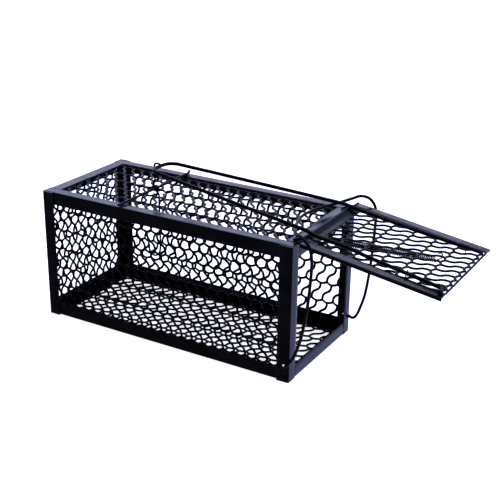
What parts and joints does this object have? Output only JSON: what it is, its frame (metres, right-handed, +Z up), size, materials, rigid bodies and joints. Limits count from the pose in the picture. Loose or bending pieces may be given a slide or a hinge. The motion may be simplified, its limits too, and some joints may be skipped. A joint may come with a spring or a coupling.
{
  "type": "live catch trap",
  "caption": "Small live catch trap: wire mesh cage in an angle strip frame, sprung drop door with a long arming lever, and a bait hook trigger.",
  "frame": {"origin": "on the surface that the trap stands on, under the middle of the box of the whole trap with its door raised", "axes": "+X from the closed end towards the raised door, +Y across the cage to the back, +Z up"},
  "size_m": [0.3708, 0.1226, 0.1444],
  "materials": {
    "black_paint": "glossy black paint over thin folded steel strip",
    "black_wire": "glossy black paint on steel wire",
    "spring_wire": "black coated spring steel wire"
  },
  "bodies": {
    "cage": {"top_front_strip": "black_paint", "top_back_strip": "black_paint", "top_end_strip": "black_paint", "top_door_strip": "black_paint", "bottom_front_strip": "black_paint", "bottom_back_strip": "black_paint", "bottom_end_strip": "black_paint", "bottom_door_strip": "black_paint", "front_end_post": "black_paint", "front_door_post": "black_paint", "back_end_post": "black_paint", "back_door_post": "black_paint", "front_mesh": "black_wire", "back_mesh": "black_wire", "top_mesh": "black_wire", "bottom_mesh": "black_wire", "end_mesh": "black_wire", "trigger_pivot_wire": "black_wire", "spring_anchor": "black_wire", "front_hinge_ear": "black_paint", "back_hinge_ear": "black_paint"},
    "door": {"door_front_rail": "black_paint", "door_back_rail": "black_paint", "door_hinge_strip": "black_paint", "door_free_strip": "black_paint", "door_mesh": "black_wire", "hinge_rod": "black_wire", "arming_lever": "black_wire", "front_inner_lever_clip": "black_wire", "front_outer_lever_clip": "black_wire", "back_inner_lever_clip": "black_wire", "back_outer_lever_clip": "black_wire"},
    "trigger": {"trigger_wire": "black_wire"},
    "spring": {"closing_spring": "spring_wire"},
    "bow": {"spring_bow": "spring_wire"}
  },
  "joints": [
    {"name": "door_hinge", "type": "hinge", "parent": "cage", "child": "door", "pos_m": [0.0681, 0, 0.122], "axis": [0, 1, 0], "range_deg": [0, 81.6]},
    {"name": "trigger_swing", "type": "hinge", "parent": "cage", "child": "trigger", "pos_m": [-0.1034, 0, 0.1198], "axis": [0, 1, 0], "range_deg": [-35, 0]},
    {"name": "spring_swing", "type": "hinge", "parent": "cage", "child": "spring", "pos_m": [0.0629, 0.003, 0.1055], "axis": [0, 1, 0], "range_deg": [0, 88.6], "deforming": ["closing_spring"]},
    {"name": "bow_swing", "type": "hinge", "parent": "cage", "child": "bow", "pos_m": [0.0601, 0, 0.0145], "axis": [0, 1, 0], "range_deg": [0, 3.6]}
  ],
  "couplings": [
    {"joint": "spring_swing", "follows": "door_hinge", "ratio": 1.0857},
    {"joint": "bow_swing", "follows": "door_hinge", "ratio": 0.043}
  ]
}
